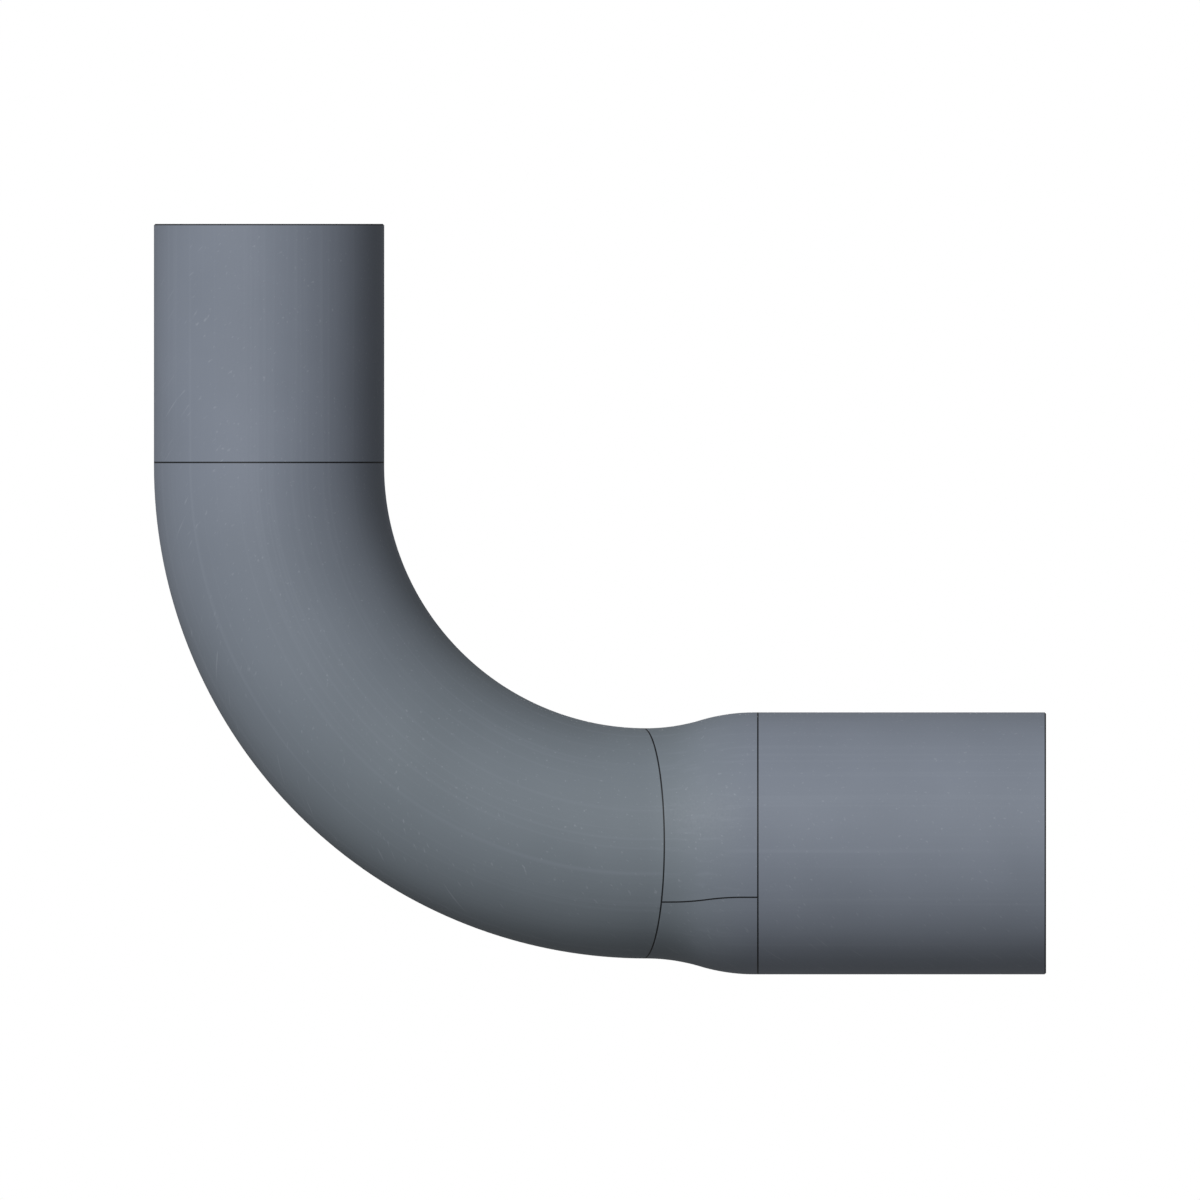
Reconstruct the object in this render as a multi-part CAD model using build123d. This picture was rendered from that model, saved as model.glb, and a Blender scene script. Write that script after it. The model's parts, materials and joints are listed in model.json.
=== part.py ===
"""A belled 90 degree PVC conduit elbow of 1-1/2 trade size.

Four tube sections run from the open top to the open mouth: a plain leg, a bend, a flare and a bell socket.
Each meets the next in a flush lap joint. The tongue is the inner half of one wall, and it lies in a
counterbore of the section before it, with a thin layer of solvent cement between the two. The flare is a
collar wrapped round and closed along one lengthwise seam on the front, -Y, which is cemented too.

The origin is the centre of the socket's mouth. +X leaves the mouth, and +Z runs up the plain leg to its end.
"""

import math
import os

from build123d import *

# ---------------------------------------------------------------- driving dimensions, in mm and degrees

PIPE_OD = 48.26
PIPE_WALL = 3.68
BELL_OD = 54.90
SOCKET_ID = 48.56  # a conduit of PIPE_OD slides in with room for cement

BEND_RADIUS = 79.0  # to the centreline
LEG_LENGTH = 50.0  # plain leg, from its joint to its open end
BEND_STRAIGHT = 0.8  # straight stretch of the bend below the plain leg's joint
FLARE_LENGTH = 23.4  # from the end of the bend's arc to the socket's joint
FLARE_LEVEL = 0.8  # stretch of full bell radius inside the flare, before the socket's joint
SOCKET_LENGTH = 60.4  # bell socket, from its joint to its mouth

CEMENT = 0.3  # thickness of the cement in every joint and in the seam
PIPE_LAP = 8.0  # tongue length in the plain leg
SKEW_LAP = 6.0  # tongue length in the bend
BELL_LAP = 6.0  # tongue length in the flare
JOINT_SKEW = 10.3  # the joint of bend and flare is cut this far off square, nearer the mouth at the front
JOINT_INTO_BEND = 0.6  # how far short of the flare's start this joint crosses the axis

SEAM_DROP_BEND = 12.3  # how far below the socket's axis the flare's seam runs, at its end by the bend
SEAM_DROP_BELL = 11.3  # the same at its end by the socket
SEAM_LEVEL_BEND = 1.4  # length of the seam's level stretch by the bend, before it climbs
SEAM_LEVEL_BELL = 3.2  # and of the one by the socket, after it has climbed

EDGE_BREAK = 0.3  # chamfer on the outer edge of both open ends
REAM = 0.8  # chamfer on the inner edge of the plain leg's end
LEAD_IN = 1.2  # depth of the cone that leads into the socket
LEAD_IN_GROWTH = 0.6  # how much the cone widens the socket's radius

REACH = 500.0  # size of the blocks that cut, longer than the elbow

# ---------------------------------------------------------------- worked-out dimensions

PIPE_RADIUS = PIPE_OD / 2
BORE_RADIUS = PIPE_RADIUS - PIPE_WALL
BELL_RADIUS = BELL_OD / 2
SOCKET_RADIUS = SOCKET_ID / 2

SOCKET_JOINT_X = -SOCKET_LENGTH
FLARE_TOP_X = SOCKET_JOINT_X - FLARE_LEVEL
FLARE_START_X = SOCKET_JOINT_X - FLARE_LENGTH
BEND_JOINT_X = FLARE_START_X - JOINT_INTO_BEND
LEG_X = FLARE_START_X - BEND_RADIUS
LEG_JOINT_Z = BEND_RADIUS + BEND_STRAIGHT
LEG_TOP_Z = LEG_JOINT_Z + LEG_LENGTH

PIPE_TONGUE_RADIUS = (PIPE_RADIUS + BORE_RADIUS - CEMENT) / 2
BELL_TONGUE_RADIUS = (BELL_RADIUS + SOCKET_RADIUS - CEMENT) / 2

LEG_AXIS = Axis((LEG_X, 0, 0), (0, 0, 1))
BEND_AXIS = Axis((FLARE_START_X, 0, BEND_RADIUS), (0, -1, 0))


# ---------------------------------------------------------------- lines and filled elbows


def ogee(start, end):
    """Two equal arcs that leave start level, meet half way and reach end level."""
    middle = ((start[0] + end[0]) / 2, (start[1] + end[1]) / 2)
    return [TangentArc(start, middle, tangent=(1, 0)), TangentArc(end, middle, tangent=(-1, 0))]


def filled_leg(radius, end_depth, end_growth):
    """The plain leg filled to one radius, with a cone of the given depth and growth at its end."""
    outline = Polyline(
        (LEG_X, BEND_RADIUS),
        (LEG_X + radius, BEND_RADIUS),
        (LEG_X + radius, LEG_TOP_Z - end_depth),
        (LEG_X + radius + end_growth, LEG_TOP_Z),
        (LEG_X, LEG_TOP_Z),
        close=True,
    )
    return revolve(Plane.XZ * make_face(outline), axis=LEG_AXIS)


def filled_bend(radius):
    """A quarter of a ring, from the flare's start up to the foot of the straight leg."""
    section = Plane(origin=(FLARE_START_X, 0, 0), x_dir=(0, 1, 0), z_dir=(-1, 0, 0)) * Circle(radius)
    return revolve(section, axis=BEND_AXIS, revolution_arc=-90)


def filled_bell(pipe_radius, bell_radius, end_depth, end_growth):
    """The flare and the socket filled to their radii, with a cone at the mouth."""
    edges = [
        Line((FLARE_START_X, 0), (FLARE_START_X, pipe_radius)),
        *ogee((FLARE_START_X, pipe_radius), (FLARE_TOP_X, bell_radius)),
        Line((FLARE_TOP_X, bell_radius), (-end_depth, bell_radius)),
        Line((-end_depth, bell_radius), (0, bell_radius + end_growth)),
        Line((0, bell_radius + end_growth), (0, 0)),
        Line((0, 0), (FLARE_START_X, 0)),
    ]
    return revolve(Plane.XZ * make_face(edges), axis=Axis.X)


def elbow_wall():
    """The whole wall of the elbow, from its outer surface to its bore."""
    outside = (
        filled_leg(PIPE_RADIUS, EDGE_BREAK, -EDGE_BREAK)
        + filled_bend(PIPE_RADIUS)
        + filled_bell(PIPE_RADIUS, BELL_RADIUS, EDGE_BREAK, -EDGE_BREAK)
    )
    inside = (
        filled_leg(BORE_RADIUS, REAM, REAM)
        + filled_bend(BORE_RADIUS)
        + filled_bell(BORE_RADIUS, SOCKET_RADIUS, LEAD_IN, LEAD_IN_GROWTH)
    )
    return outside - inside


# ---------------------------------------------------------------- joints


def beyond(joint, distance):
    """A block of everything more than a distance past a joint's plane, the way its tongue points."""
    return joint.offset(distance) * Pos(0, 0, REACH / 2) * Box(REACH, REACH, REACH)


def lap_split(body, joint, tongue_axis, tongue_radius, lap):
    """Cut a tube at a joint into the section past it, the cement and the section with the tongue.

    The section past the joint has the counterbore, and the cement lies all round the tongue and at its end.
    """
    along = Plane(origin=joint.origin, z_dir=tongue_axis)
    tongue = along * Cylinder(tongue_radius, REACH) - beyond(joint, lap)
    counterbore = along * Cylinder(tongue_radius + CEMENT, REACH) - beyond(joint, lap + CEMENT)
    clear_of_tongue = beyond(joint, -CEMENT / 2) - tongue
    clear_of_cement = beyond(joint, CEMENT / 2) - counterbore
    return body & clear_of_cement, body & (clear_of_tongue - clear_of_cement), body - clear_of_tongue


def seam_slab():
    """A thin wall from the axis out through the front of the flare, along the whole line of its seam."""
    front_of_joint = BEND_JOINT_X + PIPE_RADIUS * math.tan(math.radians(JOINT_SKEW))
    climb_start = front_of_joint + SEAM_LEVEL_BEND
    climb_end = SOCKET_JOINT_X - SEAM_LEVEL_BELL
    left = FLARE_START_X - PIPE_RADIUS
    right = SOCKET_JOINT_X + PIPE_RADIUS
    edges = []
    for offset in (-CEMENT / 2, CEMENT / 2):
        low = offset - SEAM_DROP_BEND
        high = offset - SEAM_DROP_BELL
        edges += [
            Line((left, low), (climb_start, low)),
            *ogee((climb_start, low), (climb_end, high)),
            Line((climb_end, high), (right, high)),
        ]
    for end, drop in ((left, SEAM_DROP_BEND), (right, SEAM_DROP_BELL)):
        edges.append(Line((end, -CEMENT / 2 - drop), (end, CEMENT / 2 - drop)))
    return extrude(Plane.XZ * make_face(edges), amount=REACH)


def elbow_pieces():
    """Every piece of the elbow, by the name of its node."""
    skew = math.radians(JOINT_SKEW)
    leg_joint = Plane(origin=(LEG_X, 0, LEG_JOINT_Z), z_dir=(0, 0, 1))
    bend_joint = Plane(origin=(BEND_JOINT_X, 0, 0), z_dir=(-math.cos(skew), -math.sin(skew), 0))
    socket_joint = Plane(origin=(SOCKET_JOINT_X, 0, 0), z_dir=(-1, 0, 0))

    leg, leg_cement, rest = lap_split(elbow_wall(), leg_joint, (0, 0, 1), PIPE_TONGUE_RADIUS, PIPE_LAP)
    bend, bend_cement, rest = lap_split(rest, bend_joint, (-1, 0, 0), PIPE_TONGUE_RADIUS, SKEW_LAP)
    flare, socket_cement, socket = lap_split(rest, socket_joint, (-1, 0, 0), BELL_TONGUE_RADIUS, BELL_LAP)
    slab = seam_slab()
    return {
        "plain_leg": leg,
        "bend": bend,
        "flare_collar": flare - slab,
        "bell_socket": socket,
        "leg_joint_cement": leg_cement,
        "bend_joint_cement": bend_cement,
        "socket_joint_cement": socket_cement,
        "flare_seam_cement": flare & slab,
    }


os.makedirs("parts", exist_ok=True)
for node, piece in elbow_pieces().items():
    solids = piece.solids()
    print(f"{node}: {len(solids)} solid, {sum(s.volume for s in solids):.0f} mm3")
    export_step(Compound(children=list(solids)), f"parts/{node}.step")
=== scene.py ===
# %% [markdown]
# # A belled elbow for PVC conduit
#
# Electricians turn a run of grey plastic conduit through a right angle with an elbow like this one.
# It has a plain leg that goes into a coupling, a tight bend, a flare, and a belled socket that
# takes the next conduit. The CAD frame says where everything is. This file models the four tube
# sections again with clean faces and softened edges, gives them the finish of extruded plastic, and
# lights them as in a plain studio.

# %% Load the frame
import json
import math

import bmesh
import bpy
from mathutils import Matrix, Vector

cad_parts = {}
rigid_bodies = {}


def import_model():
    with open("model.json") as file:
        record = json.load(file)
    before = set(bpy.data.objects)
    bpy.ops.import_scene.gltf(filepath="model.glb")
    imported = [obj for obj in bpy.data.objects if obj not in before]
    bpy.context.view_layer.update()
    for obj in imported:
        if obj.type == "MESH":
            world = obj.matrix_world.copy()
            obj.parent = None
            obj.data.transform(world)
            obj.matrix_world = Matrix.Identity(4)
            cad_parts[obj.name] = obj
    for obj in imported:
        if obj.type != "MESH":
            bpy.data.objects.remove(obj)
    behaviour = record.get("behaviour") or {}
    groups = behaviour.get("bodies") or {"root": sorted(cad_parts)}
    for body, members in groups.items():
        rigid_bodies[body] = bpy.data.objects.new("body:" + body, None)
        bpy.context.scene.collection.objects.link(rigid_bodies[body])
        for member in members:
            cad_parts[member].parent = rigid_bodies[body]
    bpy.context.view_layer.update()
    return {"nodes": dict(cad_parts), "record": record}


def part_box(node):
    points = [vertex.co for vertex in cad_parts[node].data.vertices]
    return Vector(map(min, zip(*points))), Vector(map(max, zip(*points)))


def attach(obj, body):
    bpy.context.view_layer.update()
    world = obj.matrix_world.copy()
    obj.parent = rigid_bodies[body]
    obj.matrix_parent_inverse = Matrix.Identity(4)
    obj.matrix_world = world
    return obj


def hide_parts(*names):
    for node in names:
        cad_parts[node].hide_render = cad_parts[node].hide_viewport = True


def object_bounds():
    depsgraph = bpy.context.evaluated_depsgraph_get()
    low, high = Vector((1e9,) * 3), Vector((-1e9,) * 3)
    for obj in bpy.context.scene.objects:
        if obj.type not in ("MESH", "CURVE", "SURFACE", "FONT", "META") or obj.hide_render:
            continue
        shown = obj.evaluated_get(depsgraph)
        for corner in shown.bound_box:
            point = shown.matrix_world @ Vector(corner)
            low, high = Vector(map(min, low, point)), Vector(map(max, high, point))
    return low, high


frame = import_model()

print("CAD nodes:", ", ".join(sorted(frame["nodes"])))

# %% [markdown]
# ## The elbow's sizes
#
# The record's mounts give the radii of the pipe, its bore and the socket. The boxes of the CAD
# nodes give the joints and the thickness of the cement in them. Only a few sizes have to be stated
# here, because no box shows them: the bend's radius, the slant of one joint, the level ends of the
# seam and the chamfers.

# %% Sizes, in metres
mm = 0.001
mounts = {mount["name"]: mount for mount in frame["record"]["mounts"]}
pipe_radius = mounts["plain_end"]["dims"]["r_mm"] * mm
bore_radius = mounts["raceway"]["dims"]["r_mm"] * mm
socket_radius = mounts["socket"]["dims"]["r_mm"] * mm
bell_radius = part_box("bell_socket")[1].z

leg_x = mounts["plain_end"]["pos_m"][0]
leg_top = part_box("plain_leg")[1].z
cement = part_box("plain_leg")[0].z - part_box("leg_joint_cement")[0].z
leg_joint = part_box("plain_leg")[0].z - cement / 2
leg_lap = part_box("bend")[1].z - leg_joint
socket_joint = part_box("flare_collar")[1].x + cement / 2
bell_lap = socket_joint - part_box("bell_socket")[0].x

bend_radius = 79 * mm
flare_start = leg_x + bend_radius
flare_top = socket_joint - 0.8 * mm
slant = math.radians(10.3)
slant_joint = flare_start - 0.6 * mm
slant_lap = 6 * mm

pipe_tongue = (pipe_radius + bore_radius - cement) / 2
bell_tongue = (bell_radius + socket_radius - cement) / 2

ream = 0.8 * mm
edge_break = 0.3 * mm
lead_in = 1.2 * mm
lead_in_growth = 0.6 * mm

print(f"pipe {pipe_radius / mm:.2f}, bell {bell_radius / mm:.2f}, cement {cement / mm:.2f} mm")
joints = {"leg z": leg_joint, "bend x": slant_joint, "socket x": socket_joint}
print("joints in mm:", ", ".join(f"{name} {place / mm:.1f}" for name, place in joints.items()))

# %% [markdown]
# ## How a tube section is modelled
#
# Each section is a wall with an outer skin, an inner skin and, where it laps over its neighbour, a
# skin half way through the wall. Each skin starts as a circle that is pulled along the tube. Where
# two skins end in one plane, the flat face of the wall is bridged between them. A spun outline
# would be quicker on the straight sections, but this way also does the bend and the slanted joint,
# so all four are made alike.

# %% Start a piece and pull its skins
SIDES = 128
LOOP_SPACING = 6 * mm
ALONG_X = Vector((1, 0, 0))
ALONG_Z = Vector((0, 0, 1))


def start_piece(name):
    """An empty mesh in edit mode, for skins to be added to."""
    bpy.ops.object.select_all(action="DESELECT")
    bpy.ops.object.add(type="MESH", enter_editmode=True, location=(0, 0, 0))
    bpy.ops.mesh.select_mode(type="EDGE")
    piece = bpy.context.object
    piece.name = name
    piece.data.name = name
    return piece


def centre(direction, place):
    """The point at a place along the leg's axis, which runs up, or along the socket's axis."""
    return Vector((leg_x, 0, place)) if direction == ALONG_Z else Vector((place, 0, 0))


def add_ring(direction, place, radius):
    """Add a circle across one of the two axes, and leave it selected."""
    turn = (0, 0, 0) if direction == ALONG_Z else (0, math.pi / 2, 0)
    bpy.ops.mesh.primitive_circle_add(
        vertices=SIDES, radius=radius, location=centre(direction, place), rotation=turn
    )


def pull_ring(direction, stations, turns=None):
    """Extrude the selected ring through stations, each a place and a radius, with any turns."""
    for number in range(1, len(stations)):
        (place, radius), (next_place, next_radius) = stations[number - 1], stations[number]
        bpy.ops.mesh.extrude_region_move(
            TRANSFORM_OT_translate={"value": direction * (next_place - place)}
        )
        middle = centre(direction, next_place)
        factor = next_radius / radius
        bpy.ops.transform.resize(value=(factor, factor, factor), center_override=middle)
        if turns:
            # with no window open, a positive angle turns the other way
            turn = turns[number - 1] - turns[number]
            bpy.ops.transform.rotate(value=turn, orient_axis="X", center_override=middle)


def evenly(start, end, spacing=LOOP_SPACING):
    """Places from start to end, about a loop's spacing apart."""
    count = max(1, round(abs(end - start) / spacing))
    return [start + (end - start) * step / count for step in range(count + 1)]


def face_skin(inside):
    """Turn the faces of the skin that was added last towards the tube's axis, or away from it."""
    bpy.ops.mesh.select_linked()
    bpy.ops.mesh.normals_make_consistent(inside=inside)


def add_skin(direction, stations, inside):
    """Add a tube through stations."""
    add_ring(direction, *stations[0])
    pull_ring(direction, stations)
    face_skin(inside)


def straight(start, end, radius):
    """The stations of a tube of one radius."""
    return [(place, radius) for place in evenly(start, end)]


# %% [markdown]
# ## Closing the wall
#
# A flat face of the wall lies between the ends of two skins. It is found by its plane: the open
# edges whose two ends lie in the plane are the two rings to bridge. Bridge follows the way the
# faces beside each ring are turned, so the bores have to face inwards by then. Otherwise its faces
# cross over.
#
# A solid has no open edge left. Its sharp edges are then softened, which leaves a few faces with
# many sides, and those are split so that every program that reads the mesh fills them in the same
# way.

# %% Close and finish a wall
def select_open_edges(test):
    """Select only the open edges whose two ends pass a test."""
    bpy.ops.mesh.select_all(action="DESELECT")
    data = bpy.context.object.data
    mesh = bmesh.from_edit_mesh(data)
    for edge in mesh.edges:
        if edge.is_boundary and all(test(vertex.co) for vertex in edge.verts):
            edge.select_set(True)
    bmesh.update_edit_mesh(data)


IN_PLANE = 0.01 * mm  # how far off a plane a point may be and still lie in it


def close_wall(point, normal):
    """Bridge the two rings that end in one plane."""
    select_open_edges(lambda co: abs((co - point).dot(normal)) < IN_PLANE)
    bpy.ops.mesh.bridge_edge_loops()


def open_edges(piece):
    """How many edges don't have two faces. A closed solid has none."""
    mesh = bmesh.new()
    mesh.from_mesh(piece.data)
    count = sum(len(edge.link_faces) != 2 for edge in mesh.edges)
    mesh.free()
    return count


SOFT_EDGE = 0.05 * mm
SHARP = math.radians(25)


def finish_wall(piece):
    """Turn every face outwards, soften the sharp edges, split big faces and shade it smooth."""
    bpy.ops.mesh.select_all(action="SELECT")
    bpy.ops.mesh.normals_make_consistent(inside=False)
    bpy.ops.object.mode_set(mode="OBJECT")
    bevel = piece.modifiers.new("softened edges", "BEVEL")
    bevel.width = SOFT_EDGE
    bevel.segments = 2
    bevel.limit_method = "ANGLE"
    bevel.angle_limit = SHARP
    bpy.ops.object.modifier_apply(modifier=bevel.name)
    split = piece.modifiers.new("many-sided faces split", "TRIANGULATE")
    split.min_vertices = 5
    split.ngon_method = "BEAUTY"
    bpy.ops.object.modifier_apply(modifier=split.name)
    bpy.ops.object.shade_smooth()
    weighted = piece.modifiers.new("flat faces stay flat", "WEIGHTED_NORMAL")
    bpy.ops.object.modifier_apply(modifier=weighted.name)
    print(f"{piece.name}: {len(piece.data.polygons)} faces, {open_edges(piece)} open edges")


# %% [markdown]
# ## The plain leg
#
# This is the end that goes into a coupling. It is sawn square. The installer breaks its outer edge
# and reams the bore, so that the edge doesn't strip the wires. Inside its foot the wall is half as
# thick, to take the bend's tongue. A cylinder with a Boolean for the bore would do the shape, but
# three skins give clean loops all round the cuts.

# %% Model the plain leg
def model_plain_leg():
    """The straight leg at the top, with the counterbore in its foot."""
    foot = leg_joint + cement / 2
    step = leg_joint + leg_lap + cement
    piece = start_piece("straight_leg")

    outer = straight(foot, leg_top - edge_break, pipe_radius)
    outer += [(leg_top, pipe_radius - edge_break)]
    bore = straight(step, leg_top - ream, bore_radius)
    bore += [(leg_top, bore_radius + ream)]
    add_skin(ALONG_Z, outer, inside=False)
    add_skin(ALONG_Z, bore, inside=True)
    add_skin(ALONG_Z, straight(foot, step, pipe_tongue + cement), inside=True)

    for place in (foot, step, leg_top):
        close_wall(centre(ALONG_Z, place), ALONG_Z)
    finish_wall(piece)
    return piece


leg = model_plain_leg()

# %% [markdown]
# ## The bell socket
#
# The bell is the pipe's own end, heated and pushed over a mandrel, so its bore takes the outside of
# the next conduit. A shallow cone leads the conduit in. The inner half of the wall runs on into the
# flare as a tongue, and the tongue's bore already follows the flare's curve. That curve could be
# drawn by hand and spun, but a formula of two arcs also serves the collar and the bend's end, so
# the pieces meet without a step.

# %% The flare's curve
def ogee(place, start, end, low, high):
    """Two equal arcs that leave start level at low, meet half way, and reach end level at high."""
    half = (end - start) / 2
    rise = (high - low) / 2
    arc = (half**2 + rise**2) / (2 * rise)
    if place < start + half:
        return low + arc - math.sqrt(arc**2 - max(0, place - start) ** 2)
    return high - arc + math.sqrt(arc**2 - max(0, end - place) ** 2)


def outer_flare(x):
    """The flare's outer radius at a place along the socket's axis."""
    return ogee(x, flare_start, flare_top, pipe_radius, bell_radius)


def inner_flare(x):
    """The flare's inner radius at a place along the socket's axis."""
    return ogee(x, flare_start, flare_top, bore_radius, socket_radius)


print(f"the flare's curve is {(flare_top - flare_start) / mm:.1f} mm long")

# %% Model the bell socket
FLARE_SPACING = 1 * mm


def model_bell_socket():
    """The socket at the mouth, with its tongue."""
    shoulder = socket_joint + cement / 2
    tip = socket_joint - bell_lap
    piece = start_piece("belled_socket")

    outer = straight(shoulder, -edge_break, bell_radius)
    outer += [(0, bell_radius - edge_break)]
    bore = [(x, inner_flare(x)) for x in evenly(tip, flare_top, FLARE_SPACING)]
    bore += straight(flare_top, -lead_in, socket_radius)[1:]
    bore += [(0, socket_radius + lead_in_growth)]
    add_skin(ALONG_X, outer, inside=False)
    add_skin(ALONG_X, bore, inside=True)
    add_skin(ALONG_X, straight(tip, shoulder, bell_tongue), inside=False)

    for place in (tip, shoulder, 0):
        close_wall(centre(ALONG_X, place), ALONG_X)
    finish_wall(piece)
    return piece


bell = model_bell_socket()

# %% [markdown]
# ## The bend
#
# The pipe is heated until it is soft and pulled round a former. Each skin is a ring that is spun
# through a quarter turn about the former's centre. Spin keeps every loop square to the pipe, which
# an extrusion along a curve would also do, but spin gives an exact arc. The end by the flare is cut
# on a slant, so the skins run past it and are trimmed by the plane of the joint.

# %% The slanted joint
slant_normal = Vector((math.cos(slant), math.sin(slant), 0))
slant_reach = pipe_radius * math.tan(slant)
print(f"the slant takes the joint {slant_reach / mm:.1f} mm to either side of its middle")


def slanted(offset):
    """A point of the plane that lies at an offset from the slanted joint, towards the mouth."""
    return Vector((slant_joint, 0, 0)) + slant_normal * offset


def trim(point, normal):
    """Cut the skin that was added last by a plane, and clear the side that the normal points to."""
    bpy.ops.mesh.select_linked()
    bpy.ops.mesh.bisect(
        plane_co=point, plane_no=normal, clear_outer=True, threshold=IN_PLANE / 10
    )


# %% Model the bend
BEND_STEPS = 72
SPARE = 2 * mm  # what the trim takes off at least
past_joint = slant_joint + slant_reach + SPARE
behind_joint = slant_joint - slant_reach - slant_lap - SPARE


def spin_ring():
    """Take the selected ring from the foot of the leg round to the flare."""
    bpy.ops.mesh.spin(
        steps=BEND_STEPS, angle=math.pi / 2, center=(flare_start, 0, bend_radius), axis=(0, 1, 0)
    )


def model_bend():
    """The quarter bend, with its tongue at the leg and its counterbore at the flare."""
    shoulder = leg_joint - cement / 2
    tip = leg_joint + leg_lap
    end, step = slanted(-cement / 2), slanted(-slant_lap - cement)
    piece = start_piece("quarter_bend")

    add_ring(ALONG_Z, shoulder, pipe_radius)
    pull_ring(ALONG_Z, [(shoulder, pipe_radius), (bend_radius, pipe_radius)])
    spin_ring()
    outer = [(x, outer_flare(x)) for x in evenly(flare_start, past_joint, FLARE_SPACING)]
    pull_ring(ALONG_X, outer)
    face_skin(inside=False)
    trim(end, slant_normal)

    add_ring(ALONG_Z, tip, bore_radius)
    pull_ring(ALONG_Z, straight(tip, bend_radius, bore_radius))
    spin_ring()
    face_skin(inside=True)
    trim(step, slant_normal)

    add_skin(ALONG_Z, straight(shoulder, tip, pipe_tongue), inside=False)

    add_skin(ALONG_X, straight(behind_joint, past_joint, pipe_tongue + cement), inside=True)
    trim(end, slant_normal)
    trim(step, -slant_normal)

    close_wall(centre(ALONG_Z, shoulder), ALONG_Z)
    close_wall(centre(ALONG_Z, tip), ALONG_Z)
    close_wall(end, slant_normal)
    close_wall(step, slant_normal)
    finish_wall(piece)
    return piece


bend = model_bend()

# %% [markdown]
# ## The flare collar
#
# The collar is a strip that is wrapped round, formed to the flare's curve and closed along one seam
# low on its front. So its skins are circles with one edge taken out at the seam. The seam doesn't
# run quite level: it climbs a little as the flare widens. Each ring is turned as it is pulled, so
# that its opening follows. The opening is then narrowed to the seam's gap before a skin is trimmed,
# so that the trim leaves its corners exactly in the plane of the joint.

# %% The seam's line
seam_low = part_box("flare_seam_cement")[0].z + cement / 2
seam_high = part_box("flare_seam_cement")[1].z - cement / 2
# the seam is level for a short stretch at each end
seam_start = slant_joint + slant_reach + 1.4 * mm
seam_end = socket_joint - 3.2 * mm


def seam_height(x):
    """How high the seam lies at a place along the socket's axis."""
    if x <= seam_start:
        return seam_low
    if x >= seam_end:
        return seam_high
    return ogee(x, seam_start, seam_end, seam_low, seam_high)


def seam_angle(x, radius):
    """Where the seam is on a ring, as an angle from the back over the top."""
    return math.pi + math.asin(-seam_height(x) / radius)


climb, run = seam_high - seam_low, seam_end - seam_start
print(f"the seam climbs {climb / mm:.1f} mm over {run / mm:.1f} mm")

# %% Split skins
def open_ring_at_seam(x, radius):
    """Take out the selected ring's edge nearest the seam, and turn the ring to centre the gap."""
    target = seam_angle(x, radius)
    middle = centre(ALONG_X, x)
    gap = Vector((0, math.cos(target), math.sin(target)))
    data = bpy.context.object.data
    mesh = bmesh.from_edit_mesh(data)
    ring = [edge for edge in mesh.edges if edge.select]
    nearest = max(ring, key=lambda edge: (edge.verts[0].co + edge.verts[1].co).dot(gap))
    place = nearest.verts[0].co + nearest.verts[1].co
    off = target - math.atan2(place.z, place.y) % math.tau
    for edge in ring:
        edge.select_set(False)
    nearest.select_set(True)
    bmesh.update_edit_mesh(data)
    bpy.ops.mesh.delete(type="EDGE")
    mesh = bmesh.from_edit_mesh(data)
    for edge in mesh.edges:
        if edge.is_wire:
            edge.select_set(True)
    bmesh.update_edit_mesh(data)
    bpy.ops.transform.rotate(value=-off, orient_axis="X", center_override=middle)


def add_split_skin(stations, inside):
    """Add a tube along the socket's axis that is open along the seam."""
    add_ring(ALONG_X, *stations[0])
    open_ring_at_seam(*stations[0])
    pull_ring(ALONG_X, stations, [seam_angle(x, radius) for x, radius in stations])
    face_skin(inside)


def wrap_on_bend():
    """Curve the part of the last skin that lies behind the flare round the bend's former."""
    data = bpy.context.object.data
    mesh = bmesh.from_edit_mesh(data)
    for vertex in mesh.verts:
        if vertex.select and vertex.co.x < flare_start:
            turn = (flare_start - vertex.co.x) / bend_radius
            arm = bend_radius - vertex.co.z
            vertex.co.x = flare_start - arm * math.sin(turn)
            vertex.co.z = bend_radius - arm * math.cos(turn)
    bmesh.update_edit_mesh(data)


def narrow_seam():
    """Move the edges of the opening in to leave just the cement's thickness between them."""
    data = bpy.context.object.data
    mesh = bmesh.from_edit_mesh(data)
    lips = set()
    for edge in mesh.edges:
        run = edge.verts[1].co - edge.verts[0].co
        if edge.is_boundary and abs(run.x) > math.hypot(run.y, run.z):
            lips.update(edge.verts)
    for vertex in lips:
        x, y, z = vertex.co
        radius = math.hypot(y, z)
        new_z = seam_height(x) + math.copysign(cement / 2, z - seam_height(x))
        vertex.co = (x, -math.sqrt(radius**2 - new_z**2), new_z)
    bmesh.update_edit_mesh(data)


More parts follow.
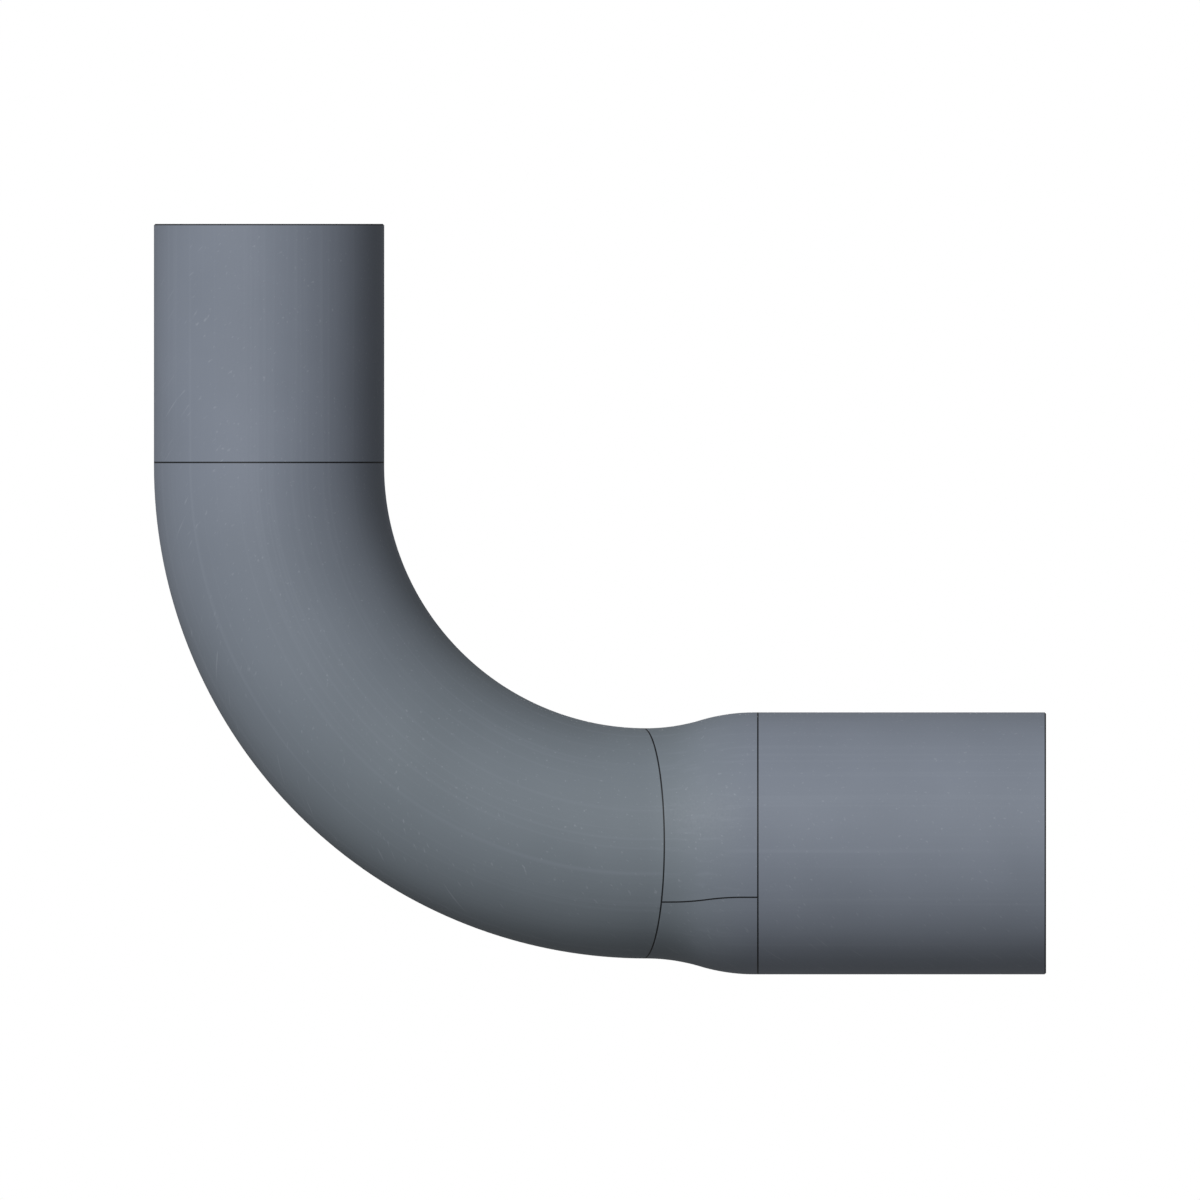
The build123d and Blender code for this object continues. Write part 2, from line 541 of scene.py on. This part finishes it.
# %% Model the flare collar
def model_flare_collar():
    """The flare, with its tongue at the bend, its counterbore at the socket and its open seam."""
    step = socket_joint - bell_lap - cement
    end = socket_joint - cement / 2
    shoulder, tip = slanted(cement / 2), slanted(-slant_lap)
    piece = start_piece("flared_collar")

    outer = [(x, outer_flare(x)) for x in evenly(behind_joint, end, FLARE_SPACING)]
    bore = [(x, inner_flare(x)) for x in evenly(behind_joint, step, FLARE_SPACING)]
    tongue = [(x, pipe_tongue) for x in evenly(behind_joint, past_joint, FLARE_SPACING)]
    counterbore = [(x, bell_tongue + cement) for x in evenly(step, end, FLARE_SPACING)]

    add_split_skin(outer, inside=False)
    narrow_seam()
    trim(shoulder, -slant_normal)
    add_split_skin(bore, inside=True)
    wrap_on_bend()
    narrow_seam()
    trim(tip, -slant_normal)
    add_split_skin(tongue, inside=False)
    narrow_seam()
    trim(shoulder, slant_normal)
    trim(tip, -slant_normal)
    add_split_skin(counterbore, inside=True)
    narrow_seam()

    close_wall(shoulder, slant_normal)
    close_wall(tip, slant_normal)
    close_wall(centre(ALONG_X, step), ALONG_X)
    close_wall(centre(ALONG_X, end), ALONG_X)
    # what is still open is the two faces of the seam's gap, above and below it
    for above in (1, -1):
        select_open_edges(lambda co: (co.z - seam_height(co.x)) * above > 0)
        bpy.ops.mesh.edge_face_add()
    finish_wall(piece)
    return piece


flare = model_flare_collar()

# %% [markdown]
# ## Where each point was before the bending
#
# Conduit is extruded straight, so the marks that the extruder leaves run along the pipe and go
# round the bend with it. To draw them, every point needs its place on the straight pipe. It is
# stored on the mesh as an attribute, which the materials read. A UV map would do as well, but it
# would need a seam along the pipe.

# %% Store the place before bending
def before_bending(point):
    """Where a point of the elbow was on the straight pipe."""
    x, y, z = point
    if x >= flare_start and z < bend_radius:
        return (x, y, z)
    arc_length = bend_radius * math.pi / 2
    if z > bend_radius:
        return (flare_start - arc_length - (z - bend_radius), y, x - leg_x)
    turn = math.atan2(flare_start - x, bend_radius - z)
    arm = math.hypot(flare_start - x, bend_radius - z)
    return (flare_start - bend_radius * turn, y, bend_radius - arm)


for piece in (leg, bend, flare, bell):
    attribute = piece.data.attributes.new("before_bending", "FLOAT_VECTOR", "POINT")
    for vertex, value in zip(piece.data.vertices, attribute.data):
        value.vector = before_bending(vertex.co)
straight_length = -before_bending(Vector((leg_x, 0, leg_top)))[0]
print(f"the pipe was {straight_length / mm:.0f} mm long before it was bent")

# %% [markdown]
# ## Materials
#
# A material is a little graph of nodes. One helper adds any node: it takes the node's kind, its
# settings, and its inputs, each of which is a plain value or another node's output. Where inputs
# share a name, as on a Mix node, they are given by number.

# %% Helpers for materials
def linear(hex_colour):
    """An sRGB hex colour as the linear colour that shaders work in."""
    channels = []
    for start in (1, 3, 5):
        value = int(hex_colour[start:start + 2], 16) / 255
        channels.append(value / 12.92 if value <= 0.04045 else ((value + 0.055) / 1.055) ** 2.4)
    return (*channels, 1)


def add_node(tree, kind, settings=None, inputs=None):
    """Add a node to a tree. An input that is a socket is linked, and any other is set."""
    made = tree.nodes.new(kind)
    for name, value in (settings or {}).items():
        setattr(made, name, value)
    for name, value in (inputs or {}).items():
        if isinstance(value, bpy.types.NodeSocket):
            tree.links.new(value, made.inputs[name])
        else:
            made.inputs[name].default_value = value
    return made


def start_material(name, ior, specular=0.5, roughness=0.5):
    """An empty material with one Principled shader. Returns it, its tree and the shader."""
    material = bpy.data.materials.new(name)
    material.use_nodes = True
    tree = material.node_tree
    tree.nodes.clear()
    shader = add_node(
        tree,
        "ShaderNodeBsdfPrincipled",
        inputs={"IOR": ior, "Specular IOR Level": specular, "Roughness": roughness},
    )
    add_node(tree, "ShaderNodeOutputMaterial", inputs={"Surface": shader.outputs["BSDF"]})
    print(f"{name}: IOR {ior}, specular level {specular}")
    return material, tree, shader


# %% [markdown]
# ## Rigid PVC
#
# The conduit is unplasticised PVC, coloured grey all through, and extruded. Its skin is satin:
# smooth to the hand, with soft lines along the pipe where the die left them, and faint clouds where
# the pigment mixed less well. Heat changes the surface. The bend comes out a little glossier, and
# the flare and the bell glossier still, because they were pressed on a polished mandrel, which also
# irons the die's lines flat. The grey also carries painted shade for how the light falls: the leg a
# touch darker, the bend and the start of the flare darkest, fading out across the flare to the
# bell.
# That is a ramp of pale tones along the pipe. It multiplies the pigment, so it runs on smoothly
# across the joints. One function makes all three kinds, so that they differ in nothing else.

# %% Painted shade along the pipe
# painted shade: the leg a touch darker, the bend and the start of the flare darkest, none at the
# bell
painted_shade_stops = (
    (flare_start - bend_radius * math.pi / 2, "#f8f8f9"),
    (flare_start - bend_radius * math.radians(40), "#eef1eb"),
    (flare_start + 6 * mm, "#eef1eb"),
    (socket_joint, "#ffffff"),
)


def add_painted_shade(tree, along):
    """Add a ramp of the painted shade, read by a place along the pipe in millimetres."""
    start, end = painted_shade_stops[0][0], painted_shade_stops[-1][0]
    part_way = add_node(
        tree, "ShaderNodeMapRange", inputs={0: along, 1: start / mm, 2: end / mm, 3: 0, 4: 1}
    )
    ramp = add_node(tree, "ShaderNodeValToRGB", inputs={0: part_way.outputs[0]})
    stops = ramp.color_ramp.elements
    for place, shade_tone in painted_shade_stops[1:-1]:
        stops.new((place - start) / (end - start)).color = linear(shade_tone)
    stops[0].color = linear(painted_shade_stops[0][1])
    stops[len(stops) - 1].color = linear(painted_shade_stops[-1][1])
    return ramp


# %% Make the PVC
PVC_IOR = 1.53
PVC_SPECULAR = 0.2


def rigid_pvc(name, roughness, line_depth):
    """Extruded PVC, with lines of a given depth left by the die."""
    material, tree, shader = start_material(name, ior=PVC_IOR, specular=PVC_SPECULAR)
    place = add_node(tree, "ShaderNodeAttribute", {"attribute_name": "before_bending"})
    in_mm = add_node(
        tree,
        "ShaderNodeVectorMath",
        {"operation": "SCALE"},
        {0: place.outputs["Vector"], "Scale": 1 / mm},
    )
    # clouds of pigment, 25 mm across
    clouds = add_node(
        tree,
        "ShaderNodeTexNoise",
        inputs={"Vector": in_mm.outputs[0], "Scale": 1 / 25, "Detail": 3},
    )
    # lines 1.2 mm apart that change over 150 mm of pipe
    along_pipe = add_node(
        tree,
        "ShaderNodeMapping",
        {"vector_type": "TEXTURE"},
        {"Vector": in_mm.outputs[0], "Scale": (150, 1.2, 1.2)},
    )
    lines = add_node(
        tree,
        "ShaderNodeTexNoise",
        inputs={"Vector": along_pipe.outputs[0], "Scale": 1, "Detail": 2},
    )
    # faint scuffs from the rack, 14 mm long and 0.6 mm wide, slantwise across the pipe
    slantwise = add_node(
        tree,
        "ShaderNodeMapping",
        {"vector_type": "TEXTURE"},
        {"Vector": in_mm.outputs[0], "Rotation": (0.5, 0.4, 0.8), "Scale": (14, 0.6, 0.6)},
    )
    scuffs = add_node(
        tree, "ShaderNodeTexNoise", inputs={"Vector": slantwise.outputs[0], "Scale": 1, "Detail": 1}
    )
    # the fine grain of the skin, 0.4 mm across
    grain = add_node(
        tree,
        "ShaderNodeTexNoise",
        inputs={"Vector": in_mm.outputs[0], "Scale": 1 / 0.4, "Detail": 2},
    )
    pigment = add_node(
        tree,
        "ShaderNodeMix",
        {"data_type": "RGBA"},
        {0: clouds.outputs["Fac"], 6: linear("#727984"), 7: linear("#7d8490")},
    )
    along = add_node(tree, "ShaderNodeSeparateXYZ", inputs={"Vector": in_mm.outputs[0]})
    # the pigment is multiplied by the painted shade along the pipe
    shaded_pigment = add_node(
        tree,
        "ShaderNodeMix",
        {"data_type": "RGBA", "blend_type": "MULTIPLY"},
        {0: 1, 6: pigment.outputs[2], 7: add_painted_shade(tree, along.outputs["X"]).outputs["Color"]},
    )
    dust = add_node(
        tree, "ShaderNodeMapRange", inputs={0: lines.outputs["Fac"], 1: 0.55, 2: 0.8, 3: 0, 4: 0.25}
    )
    colour = add_node(
        tree,
        "ShaderNodeMix",
        {"data_type": "RGBA"},
        {0: dust.outputs[0], 6: shaded_pigment.outputs[2], 7: linear("#848b96")},
    )
    scuffed = add_node(
        tree, "ShaderNodeMapRange", inputs={0: scuffs.outputs["Fac"], 1: 0.68, 2: 0.8, 3: 0, 4: 0.3}
    )
    worn_colour = add_node(
        tree,
        "ShaderNodeMix",
        {"data_type": "RGBA"},
        {0: scuffed.outputs[0], 6: colour.outputs[2], 7: linear("#9aa0a9")},
    )
    gloss = add_node(
        tree,
        "ShaderNodeMapRange",
        inputs={0: grain.outputs["Fac"], 1: 0.3, 2: 0.7, 3: roughness - 0.05, 4: roughness + 0.05},
    )
    line_bump = add_node(
        tree,
        "ShaderNodeBump",
        inputs={"Height": lines.outputs["Fac"], "Distance": line_depth, "Strength": 1},
    )
    skin_bump = add_node(
        tree,
        "ShaderNodeBump",
        inputs={
            "Height": grain.outputs["Fac"],
            "Distance": 0.006 * mm,
            "Strength": 1,
            "Normal": line_bump.outputs["Normal"],
        },
    )
    tree.links.new(worn_colour.outputs[2], shader.inputs["Base Color"])
    tree.links.new(gloss.outputs[0], shader.inputs["Roughness"])
    tree.links.new(skin_bump.outputs["Normal"], shader.inputs["Normal"])
    return material


extruded_pvc = rigid_pvc("extruded_pvc", 0.62, 0.02 * mm)
bent_pvc = rigid_pvc("bent_pvc", 0.6, 0.016 * mm)
belled_pvc = rigid_pvc("belled_pvc", 0.58, 0.008 * mm)

# %% [markdown]
# ## Sawn PVC
#
# Where the pipe was sawn off and its edges were broken, the skin is gone. The cut is paler, because
# its tiny chips and furrows scatter the light, and the saw's teeth leave shallow arcs across it, a
# millimetre apart. The furrows could be modelled, but they are only hundredths of a millimetre
# deep, so a bump from a wave in rings is enough.

# %% Make the sawn PVC
WAVE_LENGTH = math.tau / 20  # of a wave texture at scale 1
SAW_CENTRE = (-30 * mm, 120 * mm, 80 * mm)


def sawn_pvc():
    """The cut face of PVC pipe, with the arcs of a saw."""
    material, tree, shader = start_material("sawn_pvc", ior=PVC_IOR, specular=PVC_SPECULAR)
    place = add_node(tree, "ShaderNodeTexCoord")
    # the saw's arcs have their centre well outside the pipe, on the far side of both ends
    from_saw = add_node(
        tree,
        "ShaderNodeMapping",
        inputs={"Vector": place.outputs["Object"], "Location": [-part for part in SAW_CENTRE]},
    )
    arcs = add_node(
        tree,
        "ShaderNodeTexWave",
        {"wave_type": "RINGS", "rings_direction": "SPHERICAL"},
        {
            "Vector": from_saw.outputs[0],
            "Scale": WAVE_LENGTH / (1 * mm),
            "Distortion": 8,
            "Detail": 3,
            "Detail Scale": 0.5,
        },
    )
    # chips 0.4 mm across
    chips = add_node(
        tree,
        "ShaderNodeTexNoise",
        inputs={"Vector": place.outputs["Object"], "Scale": 1 / (0.4 * mm), "Detail": 2},
    )
    powder = add_node(
        tree,
        "ShaderNodeMix",
        {"data_type": "RGBA"},
        {0: chips.outputs["Fac"], 6: linear("#7b818b"), 7: linear("#a3a8af")},
    )
    furrow_colour = add_node(
        tree, "ShaderNodeMapRange", inputs={0: arcs.outputs["Fac"], 1: 0, 2: 1, 3: 0, 4: 0.14}
    )
    colour = add_node(
        tree,
        "ShaderNodeMix",
        {"data_type": "RGBA"},
        {0: furrow_colour.outputs[0], 6: powder.outputs[2], 7: linear("#6a7079")},
    )
    gloss = add_node(
        tree, "ShaderNodeMapRange", inputs={0: arcs.outputs["Fac"], 1: 0, 2: 1, 3: 0.6, 4: 0.75}
    )
    furrows = add_node(
        tree,
        "ShaderNodeBump",
        inputs={"Height": arcs.outputs["Fac"], "Distance": 0.02 * mm, "Strength": 1},
    )
    rough = add_node(
        tree,
        "ShaderNodeBump",
        inputs={
            "Height": chips.outputs["Fac"],
            "Distance": 0.03 * mm,
            "Strength": 1,
            "Normal": furrows.outputs["Normal"],
        },
    )
    tree.links.new(colour.outputs[2], shader.inputs["Base Color"])
    tree.links.new(gloss.outputs[0], shader.inputs["Roughness"])
    tree.links.new(rough.outputs["Normal"], shader.inputs["Normal"])
    return material


sawn = sawn_pvc()

# %% [markdown]
# ## The broken edge
#
# Filing the sharp corner off leaves a narrow, furred band. It is painted near black, as painted
# shade, so it shows as a thin dark line round each open end even where the light falls on it. It
# could be drawn by a texture, but the chamfer has faces of its own, so they get their own material,
# picked by their place.

# %% Make the painted edge shade
def shaded_edge_line():
    """A broken corner painted near black, as painted shade."""
    material, tree, shader = start_material(
        "shaded_edge_line", ior=PVC_IOR, specular=0.1, roughness=0.8
    )
    place = add_node(tree, "ShaderNodeTexCoord")
    # the painted shade varies in patches 3 mm long
    patches = add_node(
        tree,
        "ShaderNodeTexNoise",
        inputs={"Vector": place.outputs["Object"], "Scale": 1 / (3 * mm), "Detail": 3},
    )
    # painted shade: the chamfer is near black whatever light falls on it
    colour = add_node(
        tree,
        "ShaderNodeMix",
        {"data_type": "RGBA"},
        {0: patches.outputs["Fac"], 6: linear("#1b1e21"), 7: linear("#35393e")},
    )
    furred = add_node(
        tree,
        "ShaderNodeBump",
        inputs={"Height": patches.outputs["Fac"], "Distance": 0.05 * mm, "Strength": 1},
    )
    tree.links.new(colour.outputs[2], shader.inputs["Base Color"])
    tree.links.new(furred.outputs["Normal"], shader.inputs["Normal"])
    return material


edge_shade = shaded_edge_line()

# %% Give the pieces their materials
SKIN, SAWN, EDGE_SHADE = range(3)  # the places of a piece's materials
CUT_DEPTH = 1 * mm
FACING_OUT = 0.6  # the least cosine between a cut face's normal and the way its end points


def dress(piece, skin, end, end_normal, radius):
    """Put the skin on a piece, and the sawn material and the painted edge shade on the faces of its
    open end.
    """
    for material in (skin, sawn, edge_shade):
        piece.data.materials.append(material)
    # the chamfer starts at edge_break inside the radius, and its faces have their middles past that
    filed_from = radius - 0.9 * edge_break
    counts = [0, 0, 0]
    for face in piece.data.polygons:
        out = face.center - end
        depth = -out.dot(end_normal)
        reach = (out + end_normal * depth).length
        cut = depth < CUT_DEPTH and face.normal.dot(end_normal) > FACING_OUT
        # the chamfer's faces get the painted edge shade
        if reach > filed_from and (cut or depth < edge_break):
            face.material_index = EDGE_SHADE
        elif cut:
            face.material_index = SAWN
        counts[face.material_index] += 1
    print(f"{piece.name}: {counts[SKIN]} faces of skin, {counts[SAWN]} sawn, {counts[EDGE_SHADE]} filed")


dress(leg, extruded_pvc, centre(ALONG_Z, leg_top), ALONG_Z, pipe_radius)
dress(bell, belled_pvc, centre(ALONG_X, 0), ALONG_X, bell_radius)
bend.data.materials.append(bent_pvc)
flare.data.materials.append(belled_pvc)

# %% [markdown]
# ## Solvent cement
#
# Heavy-bodied cement melts the two skins together. What shows of it is the thin line that was
# pressed out and wiped off at each joint. It has picked up the dirt of the cloth, so it is nearly
# black, and it sets with a satin, slightly wavy surface. The films could be modelled again like the
# tubes, but they are flat strips that the CAD already has exactly, so they only get this material.

# %% Make the cement
def solvent_cement():
    """Set cement with dirt wiped into it."""
    material, tree, shader = start_material(
        "solvent_cement", ior=1.5, specular=0.3, roughness=0.6
    )
    place = add_node(tree, "ShaderNodeTexCoord")
    # the wiping cloth leaves waves about 2 mm long
    waves = add_node(
        tree,
        "ShaderNodeTexNoise",
        inputs={"Vector": place.outputs["Object"], "Scale": 1 / (2 * mm), "Detail": 3},
    )
    colour = add_node(
        tree,
        "ShaderNodeMix",
        {"data_type": "RGBA"},
        {0: waves.outputs["Fac"], 6: linear("#0e1013"), 7: linear("#1d2024")},
    )
    bump = add_node(
        tree,
        "ShaderNodeBump",
        inputs={"Height": waves.outputs["Fac"], "Distance": 0.03 * mm, "Strength": 1},
    )
    tree.links.new(colour.outputs[2], shader.inputs["Base Color"])
    tree.links.new(bump.outputs["Normal"], shader.inputs["Normal"])
    return material


cement_skin = solvent_cement()
for name in ("leg_joint_cement", "bend_joint_cement", "socket_joint_cement", "flare_seam_cement"):
    for material_slot in frame["nodes"][name].material_slots:
        material_slot.material = cement_skin

# %% [markdown]
# ## Put the pieces in the frame
#
# Nothing moves on an elbow, so every piece rides on the one body. Each new piece takes the place of
# one CAD node, which is hidden, because the two would show through each other if both stayed. The
# four films of cement stay as the CAD made them.

stand_ins = {"plain_leg": leg, "bend": bend, "flare_collar": flare, "bell_socket": bell}
for node, piece in stand_ins.items():
    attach(piece, "root")
    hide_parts(node)
    print(f"{piece.name} stands for {node}")

# %% [markdown]
# ## Studio
#
# The floor is a pale board just under the elbow. It gives no light back to the elbow, so that the
# underside falls off into shade. The world is white to look at and a dim grey as a source of light.
# A large softbox in front, on the left and a little above, models the form, and a weaker one behind
# keeps the far side readable. A sky would light it as well, but softboxes can be turned and weighed
# one by one.

# %% Floor and world
lowest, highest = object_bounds()
middle = (lowest + highest) / 2

bpy.ops.object.select_all(action="DESELECT")
bpy.ops.mesh.primitive_plane_add(size=8, location=(middle.x, middle.y, lowest.z))
floor = bpy.context.object
floor.name = "floor"
floor.visible_diffuse = False
floor.visible_glossy = False
board, _, board_shader = start_material("pale_board", ior=1.45, roughness=0.9)
board_shader.inputs["Base Color"].default_value = linear("#f1f1ef")
floor.data.materials.append(board)
print(f"the floor is at z {lowest.z / mm:.1f} mm")

world = bpy.data.worlds.new("studio")
world.use_nodes = True
sky = world.node_tree
sky.nodes.clear()
white = (1, 1, 1, 1)
backdrop = add_node(sky, "ShaderNodeBackground", inputs={"Color": white, "Strength": 1})
fill = add_node(sky, "ShaderNodeBackground", inputs={"Color": white, "Strength": 0.21})
ray = add_node(sky, "ShaderNodeLightPath")
either = add_node(
    sky,
    "ShaderNodeMixShader",
    inputs={0: ray.outputs["Is Camera Ray"], 1: fill.outputs[0], 2: backdrop.outputs[0]},
)
add_node(sky, "ShaderNodeOutputWorld", inputs={"Surface": either.outputs[0]})
bpy.context.scene.world = world

# %% Lights
SOFTBOX_DISTANCE = 6
SOFTBOX_SIZE = 2.6


def add_softbox(name, azimuth, elevation, irradiance):
    """A square softbox aimed at the elbow. Azimuth is 0 in front and grows towards the right."""
    across, up = math.radians(azimuth), math.radians(elevation)
    level = math.cos(up)
    toward = Vector((level * math.sin(across), -level * math.cos(across), math.sin(up)))
    bpy.ops.object.light_add(type="AREA", location=middle + toward * SOFTBOX_DISTANCE)
    light = bpy.context.object
    light.name = name
    light.rotation_euler = toward.to_track_quat("Z", "Y").to_euler()
    light.data.shape = "SQUARE"
    light.data.size = SOFTBOX_SIZE
    light.data.energy = irradiance * math.pi * SOFTBOX_DISTANCE**2
    print(f"{name}: {light.data.energy:.0f} W")
    return light


add_softbox("key_softbox", -31, 25, 3.22)
back = add_softbox("back_softbox", 172, 10, 2.0)
back.visible_glossy = False

# %% [markdown]
# ## Camera
#
# A long lens from far away shows a fitting without perspective, as a catalogue does. An
# orthographic camera goes all the way. It looks straight at the elbow's side, level with its
# middle.

# %% Camera
width = highest.x - lowest.x
view_width = 1.345 * width
aim = middle.z - 0.001 * width
bpy.ops.object.camera_add(location=(middle.x, middle.y - 1, aim), rotation=(math.pi / 2, 0, 0))
camera = bpy.context.object
camera.name = "camera"
camera.data.type = "ORTHO"
camera.data.ortho_scale = view_width
bpy.context.scene.camera = camera
bpy.context.scene.view_settings.view_transform = "Standard"
print(f"the view is {view_width / mm:.0f} mm wide")
